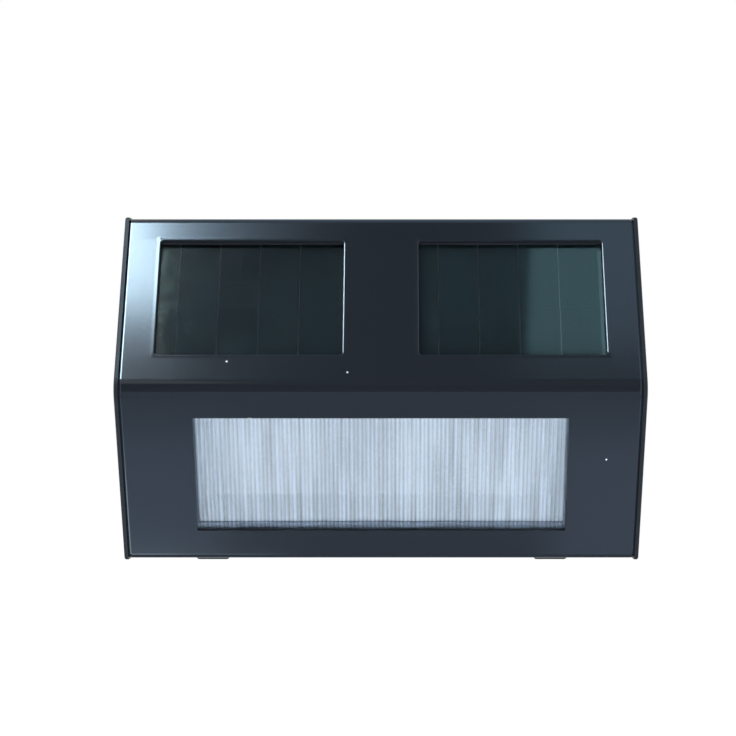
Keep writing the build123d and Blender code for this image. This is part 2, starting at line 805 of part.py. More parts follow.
with BuildPart() as battery_door:
    with BuildSketch(Plane.YZ.offset(-door_width / 2)):
        with Locations((-hinge_depth, (door_foot + hinge_z) / 2)):
            Rectangle(door_thickness, hinge_z - door_foot)
        with Locations((-hinge_depth, hinge_z)):
            Circle(door_thickness / 2)
    extrude(amount=door_width)
    with BuildSketch(Plane.YZ):
        with Locations((-hinge_depth, hinge_z)):
            Circle(door_pin_radius)
    extrude(amount=opening_width / 2 + door_pin_length - pin_gap, both=True)
    with BuildSketch(Plane.XZ.offset(door_thickness)):
        with Locations((0, tongue_z + door_tongue_wall / 2)):
            Rectangle(door_tongue_width, door_tongue_wall)
    extrude(amount=door_tongue_length)
    with BuildSketch(Plane.XZ):
        with Locations((0, door_foot)):
            SlotOverall(door_grip_width, 2 * door_grip_height)
    extrude(amount=door_grip_depth, mode=Mode.SUBTRACT)
battery_door.part.label = "battery_door"
export_step(battery_door.part, "parts/battery_door.step")

with BuildPart() as door_seal:
    with BuildSketch(Plane.XZ.offset(door_thickness + loose_gap)):
        with Locations((0, battery_z)):
            Rectangle(bay_length + 2 * door_seal_width, bay_height + 2 * door_seal_width)
            Rectangle(bay_length, bay_height, mode=Mode.SUBTRACT)
    extrude(amount=bay_rim - door_thickness - loose_gap)
door_seal.part.label = "door_seal"
export_step(door_seal.part, "parts/door_seal.step")

# ------------------------------------------------------------ battery cell, contacts and spring
plus_plate = bay_length / 2 - contact_wall
minus_plate = -plus_plate
cell_start = minus_plate + spring_length
contact_depth = battery_y

with BuildPart() as battery_cell:
    with BuildSketch(Plane.YZ.offset(cell_start)):
        with Locations((-battery_y, battery_z)):
            Circle(cell_radius)
    extrude(amount=cell_length)
    chamfer(battery_cell.edges().filter_by(GeomType.CIRCLE), cell_edge_chamfer)
    with BuildSketch(Plane.YZ.offset(cell_start + cell_length)):
        with Locations((-battery_y, battery_z)):
            Circle(cell_nub_radius)
    extrude(amount=cell_nub_height)
battery_cell.part.label = "battery_cell"
export_step(battery_cell.part, "parts/battery_cell.step")

with BuildPart() as battery_contacts:
    for plate_x in (plus_plate, minus_plate - contact_wall):
        with BuildSketch(Plane.YZ.offset(plate_x)):
            with Locations((-contact_depth, battery_z)):
                Rectangle(contact_width, contact_width)
        extrude(amount=contact_wall)
        tab_end = bay_front + contact_tab_reach
        with BuildSketch(Plane.YZ.offset(plate_x)):
            with Locations((-(contact_depth + tab_end) / 2, contact_tab_z)):
                Rectangle(tab_end - contact_depth, contact_tab_width)
        extrude(amount=contact_wall)
battery_contacts.part.label = "battery_contacts"
export_step(battery_contacts.part, "parts/battery_contacts.step")

spring_axis = Plane(origin=(minus_plate + spring_wire, -battery_y, battery_z), z_dir=(1, 0, 0))
spring_rise = (spring_length - 2 * spring_wire) / (spring_turns * spring_steps)
spring_stops = [
    spring_axis.from_local_coords(
        Vector(spring_radius, 0, step * spring_rise).rotate(Axis.Z, step * 360 / spring_steps)
    )
    for step in range(spring_turns * spring_steps + 1)
]

with BuildPart() as battery_spring:
    with BuildLine() as coil:
        Polyline(*spring_stops)
    with BuildSketch(Plane(origin=coil.line @ 0, z_dir=coil.line % 0)):
        RegularPolygon(spring_wire, wire_sides)
    sweep(transition=Transition.RIGHT)
battery_spring.part.label = "battery_spring"
export_step(battery_spring.part, "parts/battery_spring.step")

# ------------------------------------------------------------ control board and what it carries
with BuildPart() as control_board:
    with BuildSketch(Plane.XZ.offset(board_rear)):
        with Locations((board_x, board_z)):
            Rectangle(board_width, board_height)
        with Locations(*board_screw_places):
            Circle(small_screw_radius + screw_gap, mode=Mode.SUBTRACT)
    extrude(amount=board_thickness)
control_board.part.label = "control_board"
export_step(control_board.part, "parts/control_board.step")

with BuildPart() as board_screws:
    with BuildSketch(Plane.XZ.offset(board_front)):
        with Locations(*board_screw_places):
            Circle(small_head_radius)
    extrude(amount=small_head_height)
    with BuildSketch(Plane.XZ.offset(board_front)):
        with Locations(*board_screw_places):
            RegularPolygon(small_screw_radius, shank_sides)
    extrude(amount=-small_screw_length)
board_screws.part.label = "board_screws"
export_step(board_screws.part, "parts/board_screws.step")

chip_place = (board_x + chip_offset_x, board_z - parts_drop)
coil_place = (board_x + coil_offset_x, board_z - parts_drop)
capacitor_place = (board_x + capacitor_offset_x, board_z - parts_drop)

with BuildPart() as charge_chip:
    with BuildSketch(Plane.XZ.offset(board_front)):
        with Locations(chip_place):
            with GridLocations(chip_leg_pitch, chip_height + chip_leg_reach, chip_leg_count, 2):
                Rectangle(chip_leg_width, 2 * chip_leg_reach)
    extrude(amount=chip_leg_thickness)
    with BuildSketch(Plane.XZ.offset(board_front)):
        with Locations(chip_place):
            Rectangle(chip_width, chip_height)
    extrude(amount=chip_thickness)
charge_chip.part.label = "charge_chip"
export_step(charge_chip.part, "parts/charge_chip.step")

with BuildPart() as inductor:
    with BuildSketch(Plane.XZ.offset(board_front)):
        with Locations(coil_place):
            Rectangle(coil_width, coil_width)
    extrude(amount=coil_height)
    chamfer(inductor.edges().filter_by(Axis.Y), coil_chamfer)
inductor.part.label = "inductor"
export_step(inductor.part, "parts/inductor.step")

with BuildPart() as capacitor:
    with BuildSketch(Plane.XZ.offset(board_front)):
        with Locations(capacitor_place):
            Circle(capacitor_radius)
    extrude(amount=capacitor_height)
capacitor.part.label = "capacitor"
export_step(capacitor.part, "parts/capacitor.step")

# ------------------------------------------------------------ slide switch behind its slot
switch_rear = plate_wall + switch_back_gap
slider_room_start = switch_rear + switch_wall
slider_start = slider_room_start + fit_gap
slider_off = switch_x - switch_travel / 2

with BuildPart() as switch_body:
    with BuildSketch(Plane.XZ.offset(switch_rear)):
        with Locations((switch_x, switch_z)):
            Rectangle(switch_width, switch_height)
    extrude(amount=board_rear - switch_rear)
    with BuildSketch(Plane.XZ.offset(slider_room_start)):
        with Locations((switch_x, switch_z)):
            Rectangle(
                slider_base_width + switch_travel + 2 * slider_side_gap,
                slider_base_height + 2 * slider_side_gap,
            )
    extrude(amount=slider_base_wall + 2 * fit_gap, mode=Mode.SUBTRACT)
    with BuildSketch(Plane.XZ.offset(switch_rear)):
        with Locations((switch_x, switch_z)):
            Rectangle(knob_slot_width, knob_slot_height)
    extrude(amount=switch_wall, mode=Mode.SUBTRACT)
switch_body.part.label = "switch_body"
export_step(switch_body.part, "parts/switch_body.step")

with BuildPart() as switch_slider:
    with BuildSketch(Plane.XZ.offset(slider_start)):
        with Locations((slider_off, switch_z)):
            Rectangle(slider_base_width, slider_base_height)
    extrude(amount=slider_base_wall)
    with BuildSketch(Plane.XZ.offset(slider_recess)):
        with Locations((slider_off, switch_z)):
            Rectangle(slider_knob_width, slider_knob_height)
    extrude(amount=slider_start - slider_recess)
switch_slider.part.label = "switch_slider"
export_step(switch_slider.part, "parts/switch_slider.step")


# ------------------------------------------------------------ leads between the electrical pieces
def lead(*points):
    """One insulated wire: a six-sided tube along straight runs, with each corner cut at lead_bend."""
    stops = [Vector(*point) for point in points]
    route = [stops[0]]
    for before, corner, after in zip(stops, stops[1:], stops[2:]):
        route.append(corner + (before - corner).normalized() * lead_bend)
        route.append(corner + (after - corner).normalized() * lead_bend)
    route.append(stops[-1])
    with BuildPart() as wire:
        with BuildLine() as path:
            Polyline(*route)
        with BuildSketch(Plane(origin=path.line @ 0, z_dir=path.line % 0)):
            RegularPolygon(lead_radius, wire_sides)
        sweep(transition=Transition.RIGHT)
    return wire.part


def board_end(x):
    """The last two points of a wire that is soldered to the front of the control board."""
    return (x, -board_front - lead_end_run, lead_pad_z), (x, -board_front, lead_pad_z)


pad_pairs = [
    (pad_x + i * lead_pitch, pad_end + i * lead_pitch)
    for pad_x, pad_end in ((panel_pad_left, left_lead_pad), (panel_pad_right, right_lead_pad))
    for i in (0, 1)
]
with BuildPart() as panel_leads:
    for pad_x, pad_end in pad_pairs:
        start = upper_face.from_local_coords((pad_x, pad_y, -tray_depth))
        turn = upper_face.from_local_coords((pad_x, pad_y, -tray_depth - 2 * lead_end_run))
        add(lead(start, turn, (pad_end, lead_drop_y, lead_drop_z), *board_end(pad_end)))
panel_leads.part.label = "panel_leads"
export_step(panel_leads.part, "parts/panel_leads.step")

led_wire_drop = led_board_drop + board_thickness / 2
with BuildPart() as led_leads:
    for pad_end in (led_lead_pad, led_lead_pad + lead_pitch):
        board_edge = led_depth + led_board_height / 2
        start = lower_face.from_local_coords((pad_end, -led_wire_drop, -board_edge))
        turn = lower_face.from_local_coords((pad_end, -led_wire_drop, -board_edge - lead_end_run))
        add(lead(start, turn, *board_end(pad_end)))
led_leads.part.label = "led_leads"
export_step(led_leads.part, "parts/led_leads.step")

with BuildPart() as battery_leads:
    for tab_x, pad_end in ((-contact_x, minus_lead_pad), (contact_x, plus_lead_pad)):
        tab_end = bay_front + contact_tab_reach
        add(
            lead(
                (tab_x, -tab_end, contact_tab_z),
                (tab_x, -tab_end - lead_end_run, contact_tab_z),
                (tab_x, lead_drop_y + lead_end_run / 2, lead_drop_z),
                *board_end(pad_end),
            )
        )
battery_leads.part.label = "battery_leads"
export_step(battery_leads.part, "parts/battery_leads.step")
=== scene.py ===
import json
import math

import bmesh
import bpy
from mathutils import Matrix, Vector


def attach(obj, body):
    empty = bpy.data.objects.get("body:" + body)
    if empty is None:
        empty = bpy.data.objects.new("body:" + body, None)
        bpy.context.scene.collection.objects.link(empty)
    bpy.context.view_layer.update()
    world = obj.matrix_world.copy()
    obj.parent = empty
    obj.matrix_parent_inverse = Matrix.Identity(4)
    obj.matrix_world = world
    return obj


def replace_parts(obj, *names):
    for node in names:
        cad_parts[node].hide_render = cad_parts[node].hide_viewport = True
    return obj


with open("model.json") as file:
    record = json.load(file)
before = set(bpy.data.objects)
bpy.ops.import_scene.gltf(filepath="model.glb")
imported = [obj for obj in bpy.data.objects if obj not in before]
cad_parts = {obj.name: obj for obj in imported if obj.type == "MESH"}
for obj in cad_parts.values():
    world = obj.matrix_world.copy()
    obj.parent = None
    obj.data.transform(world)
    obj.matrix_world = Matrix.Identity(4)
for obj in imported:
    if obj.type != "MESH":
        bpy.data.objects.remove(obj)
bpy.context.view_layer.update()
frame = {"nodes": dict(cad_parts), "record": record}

MM = 0.001

# ---------------------------------------- sizes taken over from the construction, in millimetres
bend_reach = 45.0
top_reach = 16.0
bottom_reach = 18.0
half_height = 50.25
cover_length = 149.6
wall_setback = 0.5
sheet_thickness = 0.8
bend_radius = 6.0
fold_radius = 2.5
panel_window_inner = 11.0
panel_window_outer = 65.0
panel_window_low = 11.4
panel_window_high = 50.3
panel_window_corner = 1.0
rim_depth = 1.7
glass_width = 62.4
glass_length = 42.2
glass_thickness = 1.1
glass_depth = 2.1
glass_shift = -3.0
glass_edge = 0.2
cell_shift = -3.6
cell_field = 29.3
hook_slot_inner = 45.3
hook_slot_outer = 55.7
hook_slot_front = -11.8
hook_slot_rear = -7.2
lens_window_side = 54.0
lens_window_drop = 9.6
lens_window_length = 37.9
lens_depth = 1.2
lens_thickness = 1.85
lens_width = 112.8
lens_length = 42.0
reed_pitch = 1.2
reed_count = 91
reed_height = 0.25

# ---------------------------------------- sizes of the scene's own shaping, in millimetres
rim_roll = 0.35
bead_width = 1.3
bead_rise = 0.09
end_roll_width = 0.9
end_roll_drop = 0.3
on_line = 0.01
on_cut = 0.001

# ---------------------------------------- steps in each rounding, and creases in degrees
bend_steps = 16
fold_steps = 8
corner_steps = 5
roll_steps = 6
glass_edge_steps = 2
reed_steps = 8
piece_crease = 35.0
cover_crease = 30.0


def facet_plane(rise, reach):
    """Turns facet coordinates (across, up the slope, out of the sheet) into the frame's.

    Both are in millimetres.
    """
    across = Vector((1, 0, 0))
    up = Vector((0, bend_reach - reach, rise)).normalized()
    if rise < 0:
        up = -up
    out = across.cross(up)
    turn = Matrix((across, up, out)).transposed().to_4x4()
    return Matrix.Translation((0, -bend_reach, 0)) @ turn


upper_facet = facet_plane(half_height, top_reach)
lower_facet = facet_plane(-half_height, bottom_reach)
window_middle = (panel_window_inner + panel_window_outer) / 2


def piece_from(bm, name, slot, crease=piece_crease):
    """Makes a piece of the case from a bmesh in millimetres, with the finish of its slot."""
    bmesh.ops.scale(bm, vec=(MM, MM, MM), verts=bm.verts)
    bmesh.ops.recalc_face_normals(bm, faces=bm.faces)
    for face in bm.faces:
        face.smooth = True
    for edge in bm.edges:
        edge.smooth = edge.smooth and edge.calc_face_angle(0) < math.radians(crease)
    mesh = bpy.data.meshes.new(name)
    bm.to_mesh(mesh)
    bm.free()
    mesh.materials.append(finishes[slot])
    piece = bpy.data.objects.new(name, mesh)
    bpy.context.scene.collection.objects.link(piece)
    flat_faces = piece.modifiers.new("flat_faces", "WEIGHTED_NORMAL")
    flat_faces.keep_sharp = True
    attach(piece, "case")
    return piece


# ---------------------------------------- effects that several finishes share
def new_group(name, inputs, outputs):
    """A shader node group with named inputs and outputs, each with its kind of socket."""
    group = bpy.data.node_groups.new(name, "ShaderNodeTree")
    for in_out, sockets in (("INPUT", inputs), ("OUTPUT", outputs)):
        for label, kind in sockets.items():
            group.interface.new_socket(name=label, in_out=in_out, socket_type="NodeSocket" + kind)
    entry = group.nodes.new("NodeGroupInput")
    leave = group.nodes.new("NodeGroupOutput")
    return group, entry, leave


def math_node(tree, operation, first, second=None, clamp=False):
    """A Math node whose inputs are sockets or plain numbers."""
    node = tree.nodes.new("ShaderNodeMath")
    node.operation = operation
    node.use_clamp = clamp
    for socket, value in zip(node.inputs, (first, second)):
        if value is None:
            continue
        if isinstance(value, (int, float)):
            socket.default_value = value
        else:
            tree.links.new(value, socket)
    return node.outputs[0]


def noise(tree, coordinates, scale, detail, roughness=0.5):
    """A noise texture's value, read at the given coordinates."""
    node = tree.nodes.new("ShaderNodeTexNoise")
    node.inputs["Detail"].default_value = detail
    node.inputs["Roughness"].default_value = roughness
    tree.links.new(coordinates, node.inputs["Vector"])
    tree.links.new(scale, node.inputs["Scale"])
    return node.outputs["Fac"]


def scaled_colour(tree, colour, gain):
    """A colour socket made lighter or darker by a gain."""
    node = tree.nodes.new("ShaderNodeVectorMath")
    node.operation = "SCALE"
    tree.links.new(colour, node.inputs[0])
    tree.links.new(gain, node.inputs["Scale"])
    return node.outputs[0]


def make_grain_group():
    """Fine grain over a slower waviness, as a bump normal. Sizes and depths are in metres."""
    group, entry, leave = new_group(
        "surface_grain",
        {
            "Coordinates": "Vector",
            "Grain Size": "Float",
            "Grain Depth": "Float",
            "Wave Size": "Float",
            "Wave Depth": "Float",
        },
        {"Normal": "Vector"},
    )
    heights = []
    for size, depth in (("Grain Size", "Grain Depth"), ("Wave Size", "Wave Depth")):
        scale = math_node(group, "DIVIDE", 1.0, entry.outputs[size])
        value = noise(group, entry.outputs["Coordinates"], scale, detail=2.0)
        heights.append(math_node(group, "MULTIPLY", value, entry.outputs[depth]))
    bump = group.nodes.new("ShaderNodeBump")
    bump.inputs["Distance"].default_value = 1.0
    group.links.new(math_node(group, "ADD", *heights), bump.inputs["Height"])
    group.links.new(bump.outputs["Normal"], leave.inputs["Normal"])
    return group


def make_shade_group():
    """A colour and a roughness that wander together over the piece."""
    group, entry, leave = new_group(
        "shade_wander",
        {
            "Coordinates": "Vector",
            "Colour": "Color",
            "Spread": "Float",
            "Patch Size": "Float",
            "Roughness": "Float",
            "Roughness Spread": "Float",
        },
        {"Colour": "Color", "Roughness": "Float"},
    )
    scale = math_node(group, "DIVIDE", 1.0, entry.outputs["Patch Size"])
    value = noise(group, entry.outputs["Coordinates"], scale, detail=5.0, roughness=0.6)
    centred = math_node(group, "SUBTRACT", value, 0.5)
    lighter = math_node(group, "MULTIPLY", centred, entry.outputs["Spread"])
    gain = math_node(group, "ADD", 1.0, lighter)
    group.links.new(scaled_colour(group, entry.outputs["Colour"], gain), leave.inputs["Colour"])
    swing = math_node(group, "MULTIPLY", centred, entry.outputs["Roughness Spread"])
    rough = math_node(group, "ADD", entry.outputs["Roughness"], swing, clamp=True)
    group.links.new(rough, leave.inputs["Roughness"])
    return group


def make_speck_group():
    """A mask of sparse dust specks. Their size is a share of their spacing."""
    group, entry, leave = new_group(
        "dust_specks",
        {"Coordinates": "Vector", "Spacing": "Float", "Speck Size": "Float", "Share": "Float"},
        {"Mask": "Float"},
    )
    cells = group.nodes.new("ShaderNodeTexVoronoi")
    group.links.new(entry.outputs["Coordinates"], cells.inputs["Vector"])
    scale = math_node(group, "DIVIDE", 1.0, entry.outputs["Spacing"])
    group.links.new(scale, cells.inputs["Scale"])
    near = math_node(group, "LESS_THAN", cells.outputs["Distance"], entry.outputs["Speck Size"])
    split = group.nodes.new("ShaderNodeSeparateColor")
    group.links.new(cells.outputs["Color"], split.inputs[0])
    chosen = math_node(group, "LESS_THAN", split.outputs[0], entry.outputs["Share"])
    group.links.new(math_node(group, "MULTIPLY", near, chosen), leave.inputs["Mask"])
    return group


def make_film_group():
    """How thick a cloudy film of dust lies: large clouds broken up by fine mottling."""
    mottles_in_patch = 12.0
    least_mottle = 0.4
    full_amount = 4.0
    group, entry, leave = new_group(
        "dust_film",
        {"Coordinates": "Vector", "Patch Size": "Float", "Amount": "Float"},
        {"Weight": "Float"},
    )
    place = entry.outputs["Coordinates"]
    scale = math_node(group, "DIVIDE", 1.0, entry.outputs["Patch Size"])
    clouds = noise(group, place, scale, detail=3.0, roughness=0.6)
    fine_scale = math_node(group, "MULTIPLY", scale, mottles_in_patch)
    mottle = math_node(group, "ADD", noise(group, place, fine_scale, detail=2.0), least_mottle)
    both = math_node(group, "MULTIPLY", math_node(group, "POWER", clouds, 2.0), mottle)
    amount = math_node(group, "MULTIPLY", entry.outputs["Amount"], full_amount)
    weight = math_node(group, "MULTIPLY", both, amount)
    group.links.new(math_node(group, "MINIMUM", weight, 1.0), leave.inputs["Weight"])
    return group


def make_reed_light_group():
    """Painted light on reeds across X: a painted highlight line down each crest, painted shade in
    the valleys, and uneven painted streaks of light.
    """
    crest_narrowing = 4.5
    streak_stretch = (1.0, 0.03, 0.03)
    mottles_in_reed = 1.6
    streak_part = 0.75
    mottle_part = 0.25
    group, entry, leave = new_group(
        "painted_reed_light",
        {
            "Coordinates": "Vector",
            "Colour": "Color",
            "Reed Pitch": "Float",
            "Spread": "Float",
            "Valley": "Float",
        },
        {"Colour": "Color"},
    )
    place = entry.outputs["Coordinates"]
    valley = entry.outputs["Valley"]
    split = group.nodes.new("ShaderNodeSeparateXYZ")
    group.links.new(place, split.inputs[0])
    count = math_node(group, "DIVIDE", split.outputs["X"], entry.outputs["Reed Pitch"])
    nearest = math_node(group, "ROUND", count)
    off_crest = math_node(group, "ABSOLUTE", math_node(group, "SUBTRACT", count, nearest))
    fall = math_node(group, "MULTIPLY", off_crest, crest_narrowing)
    crest = math_node(group, "SUBTRACT", 1.0, fall, clamp=True)
    # uneven painted streaks of light along the reeds, varying from reed to reed
    stretch = group.nodes.new("ShaderNodeVectorMath")
    stretch.operation = "MULTIPLY"
    stretch.inputs[1].default_value = streak_stretch
    group.links.new(place, stretch.inputs[0])
    scale = math_node(group, "DIVIDE", 1.0, entry.outputs["Reed Pitch"])
    streak = noise(group, stretch.outputs[0], scale, detail=1.0, roughness=0.6)
    mottle_scale = math_node(group, "MULTIPLY", scale, mottles_in_reed)
    mottle = noise(group, place, mottle_scale, detail=2.0)
    uneven = math_node(
        group,
        "ADD",
        math_node(group, "MULTIPLY", streak, streak_part),
        math_node(group, "MULTIPLY", mottle, mottle_part),
    )
    centred = math_node(group, "SUBTRACT", uneven, 0.5)
    swing = math_node(group, "MULTIPLY", centred, entry.outputs["Spread"])
    # painted shade darkens each valley and a painted highlight line runs down each crest
    rise = math_node(group, "MULTIPLY", crest, math_node(group, "SUBTRACT", 1.0, valley))
    even = math_node(group, "ADD", valley, rise)
    gain = math_node(group, "ADD", even, swing, clamp=True)
    group.links.new(scaled_colour(group, entry.outputs["Colour"], gain), leave.inputs["Colour"])
    return group


grain_group = make_grain_group()
film_group = make_film_group()
reed_light_group = make_reed_light_group()
shade_group = make_shade_group()
speck_group = make_speck_group()


def placed_group(tree, group, coordinates, **values):
    """Puts a shared effect in a material, with its own values."""
    node = tree.nodes.new("ShaderNodeGroup")
    node.node_tree = group
    tree.links.new(coordinates, node.inputs["Coordinates"])
    for label, value in values.items():
        node.inputs[label.replace("_", " ").title()].default_value = value
    return node


def mix_colour(tree, factor, first, second):
    """A mix of a colour socket and a plain colour by a factor socket."""
    node = tree.nodes.new("ShaderNodeMix")
    node.data_type = "RGBA"
    tree.links.new(factor, node.inputs["Factor"])
    socket, plain = [s for s in node.inputs if s.type == "RGBA"]
    tree.links.new(first, socket)
    plain.default_value = second
    return [s for s in node.outputs if s.type == "RGBA"][0]


def srgb(red, green, blue):
    """A display colour, 0 to 255, as a linear colour."""

    def linear(level):
        level /= 255
        return level / 12.92 if level <= 0.04045 else ((level + 0.055) / 1.055) ** 2.4

    return (linear(red), linear(green), linear(blue), 1.0)


speck_colour = srgb(190, 196, 205)
speck_size = 0.024
steel_tint = (0.80, 0.90, 1.0, 1)
glass_tint = (0.82, 1.0, 0.95, 1)
lens_colour = (0.96, 0.98, 1.0, 1)
# how far the reeds' painted streaks of light swing, and how dark their painted valley shade is
lens_light_spread = 0.9
lens_valley_shade = 0.56
bare_lacquer = (0.004, 0.006, 0.008, 1)


def finish(
    name,
    colour,
    roughness,
    spread=0.15,
    patch=12.0,
    roughness_spread=0.08,
    grain=(0.5, 0.004),
    wave=(9.0, 0.006),
    speck_share=0.0,
    speck_spacing=9.0,
    dust=None,
    **sockets,
):
    """A procedural finish: wandering colour and roughness, grain and waviness, specks and dust.

    Grain and wave are a size and a depth, and dust is a patch size and an amount. Sizes, depths
    and spacings are in millimetres. Any other value goes to the shader's socket of that name.
    """
    material = bpy.data.materials.new(name)
    material.use_nodes = True
    tree = material.node_tree
    shader = tree.nodes["Principled BSDF"]
    place = tree.nodes.new("ShaderNodeTexCoord").outputs["Object"]
    shade = placed_group(
        tree,
        shade_group,
        place,
        colour=colour,
        spread=spread,
        patch_size=patch * MM,
        roughness=roughness,
        roughness_spread=roughness_spread,
    )
    bump = placed_group(
        tree,
        grain_group,
        place,
        grain_size=grain[0] * MM,
        grain_depth=grain[1] * MM,
        wave_size=wave[0] * MM,
        wave_depth=wave[1] * MM,
    )
    surface_colour = shade.outputs["Colour"]
    if speck_share:
        specks = placed_group(
            tree,
            speck_group,
            place,
            spacing=speck_spacing * MM,
            speck_size=speck_size,
            share=speck_share,
        )
        surface_colour = mix_colour(tree, specks.outputs["Mask"], surface_colour, speck_colour)
    tree.links.new(surface_colour, shader.inputs["Base Color"])
    tree.links.new(shade.outputs["Roughness"], shader.inputs["Roughness"])
    tree.links.new(bump.outputs["Normal"], shader.inputs["Normal"])
    if dust:
        film = placed_group(tree, film_group, place, patch_size=dust[0] * MM, amount=dust[1])
        tree.links.new(film.outputs["Weight"], shader.inputs["Coat Weight"])
    for label, value in sockets.items():
        shader.inputs[label.replace("_", " ")].default_value = value
    return material


# ---------------------------------------- looks, one for each slot of the record
looks = {
    "coated_steel": dict(
        colour=(0.0062, 0.0078, 0.0104, 1),
        roughness=0.14,
        spread=0.12,
        patch=9.0,
        roughness_spread=0.02,
        grain=(1.2, 0.003),
        wave=(14.0, 0.008),
        speck_share=0.9,
        speck_spacing=12.0,
        Specular_Tint=steel_tint,
    ),
    "end_cap": dict(
        colour=(0.0080, 0.0098, 0.0120, 1),
        roughness=0.45,
        spread=0.12,
        roughness_spread=0.02,
        grain=(0.9, 0.002),
        wave=(14.0, 0.006),
        Specular_Tint=steel_tint,
        Specular_IOR_Level=0.22,
    ),
    "panel_glass": dict(
        colour=(1.0, 1.0, 1.0, 1.0),
        roughness=0.05,
        spread=0.0,
        roughness_spread=0.05,
        grain=(0.8, 0.0001),
        wave=(30.0, 0.001),
        dust=(9.0, 0.05),
        Coat_Roughness=0.25,
        Transmission_Weight=1.0,
        Specular_Tint=glass_tint,
        Specular_IOR_Level=0.75,
        IOR=1.5,
    ),
    "cell_film": dict(
        colour=(0.006, 0.013, 0.016, 1),
        roughness=0.35,
        spread=0.35,
        patch=6.0,
        roughness_spread=0.02,
        grain=(0.4, 0.0006),
        Specular_IOR_Level=0.03,
    ),
    "cell_lacquer": dict(
        colour=srgb(74, 72, 72), roughness=0.5, grain=(0.3, 0.004), Specular_IOR_Level=0.03
    ),
    "clear_acrylic": dict(
        colour=lens_colour,
        roughness=0.04,
        spread=0.0,
        roughness_spread=0.04,
        grain=(0.6, 0.0006),
        wave=(10.0, 0.004),
        Transmission_Weight=1.0,
        IOR=1.49,
    ),
    "white_reflector": dict(
        colour=(0.74, 0.82, 0.90, 1), roughness=0.35, spread=0.12, grain=(0.5, 0.006)
    ),
    "black_abs": dict(
        colour=srgb(32, 33, 35), roughness=0.5, grain=(0.35, 0.02), wave=(12.0, 0.01)
    ),
    "black_foam": dict(colour=srgb(26, 27, 32), roughness=0.85, grain=(0.3, 0.06), spread=0.3),
    "grey_foam": dict(colour=srgb(112, 128, 148), roughness=0.85, grain=(0.3, 0.05), spread=0.25),
    "circuit_board": dict(
        colour=srgb(24, 92, 58), roughness=0.35, spread=0.25, patch=3.0, grain=(0.25, 0.006)
    ),
    "lamp_resin": dict(colour=srgb(236, 232, 214), roughness=0.2, grain=(0.4, 0.002)),
    "chip_resin": dict(colour=srgb(28, 28, 30), roughness=0.55, grain=(0.12, 0.006)),
    "ferrite": dict(colour=srgb(48, 46, 46), roughness=0.7, grain=(0.15, 0.01)),
    "capacitor_sleeve": dict(colour=srgb(38, 46, 82), roughness=0.3, grain=(0.4, 0.002)),
    "zinc_steel": dict(
        colour=srgb(176, 178, 182),
        roughness=0.34,
        spread=0.2,
        patch=1.5,
        grain=(0.2, 0.003),
        Metallic=1.0,
    ),
    "nickel_contact": dict(
        colour=srgb(196, 192, 182),
        roughness=0.25,
        spread=0.12,
        patch=3.0,
        grain=(0.3, 0.002),
        Metallic=1.0,
    ),
    "cell_sleeve": dict(colour=srgb(52, 112, 74), roughness=0.28, grain=(0.5, 0.002)),
    "switch_plastic": dict(colour=srgb(206, 208, 206), roughness=0.45, grain=(0.2, 0.006)),
    "lead_sleeve": dict(colour=srgb(150, 34, 32), roughness=0.4, grain=(0.3, 0.003)),
}
finishes = {name: finish(name, **look) for name, look in looks.items()}


def paint_reed_light(material):
    """Paints the reeds' light into the acrylic's colour: highlight lines on the crests, shade in
    the valleys and uneven streaks.
    """
    tree = material.node_tree
    place = tree.nodes.new("ShaderNodeTexCoord").outputs["Object"]
    streaks = placed_group(
        tree,
        reed_light_group,
        place,
        colour=lens_colour,
        reed_pitch=reed_pitch * MM,
        spread=lens_light_spread,
        valley=lens_valley_shade,
    )
    shader = tree.nodes["Principled BSDF"]
    tree.links.new(streaks.outputs["Colour"], shader.inputs["Base Color"])


def darken_lacquer(material):
    """Leaves the lacquer black outside the field of the cell strips."""
    tree = material.node_tree
    shader = tree.nodes["Principled BSDF"]
    old = shader.inputs["Base Color"].links[0].from_socket
    place = tree.nodes.new("ShaderNodeTexCoord").outputs["Object"]
    split = tree.nodes.new("ShaderNodeSeparateXYZ")
    tree.links.new(place, split.inputs[0])
    shifted = math_node(tree, "SUBTRACT", split.outputs["X"], cell_shift * MM)
    across = math_node(tree, "ABSOLUTE", shifted)
    from_middle = math_node(tree, "SUBTRACT", across, window_middle * MM)
    off_middle = math_node(tree, "ABSOLUTE", from_middle)
    outside = math_node(tree, "GREATER_THAN", off_middle, cell_field * MM)
    tree.links.new(mix_colour(tree, outside, old, bare_lacquer), shader.inputs["Base Color"])


# the lens colour carries painted highlight lines and painted valley shade
paint_reed_light(finishes["clear_acrylic"])
darken_lacquer(finishes["cell_lacquer"])
for part in frame["record"]["subparts"]:
    node = frame["nodes"][part["node"]]
    for slot in node.material_slots:
        slot.material = finishes[part["material_slot"]]


# ---------------------------------------- ways of working a sheet
def only(kind, pieces):
    """Those of a list of mesh pieces that are of one kind."""
    return [piece for piece in pieces if isinstance(piece, kind)]


def faces_on(bm, plane, tolerance=on_line):
    """The faces that lie in a plane."""
    back = plane.inverted()
    return [
        face for face in bm.faces if all(abs((back @ vert.co).z) < tolerance for vert in face.verts)
    ]


def cut_across(bm, faces, plane, axis, places):
    """Cuts flat faces along straight lines of a plane and returns all the pieces."""
    along = Vector((0, 0, 0))
    along[axis] = 1
    for place in places:
        pieces = set(faces)
        for face in faces:
            pieces.update(face.edges)
            pieces.update(face.verts)
        cut = bmesh.ops.bisect_plane(
            bm,
            geom=list(pieces),
            dist=on_cut,
            plane_co=plane @ (along * place),
            plane_no=plane.to_3x3() @ along,
        )
        faces = only(bmesh.types.BMFace, cut["geom"])
    return faces


def spans(plane, faces, axis, low, high):
    """Those of the faces whose middles lie between two values of one of a plane's axes."""
    back = plane.inverted()
    return [face for face in faces if low < (back @ face.calc_center_median())[axis] < high]


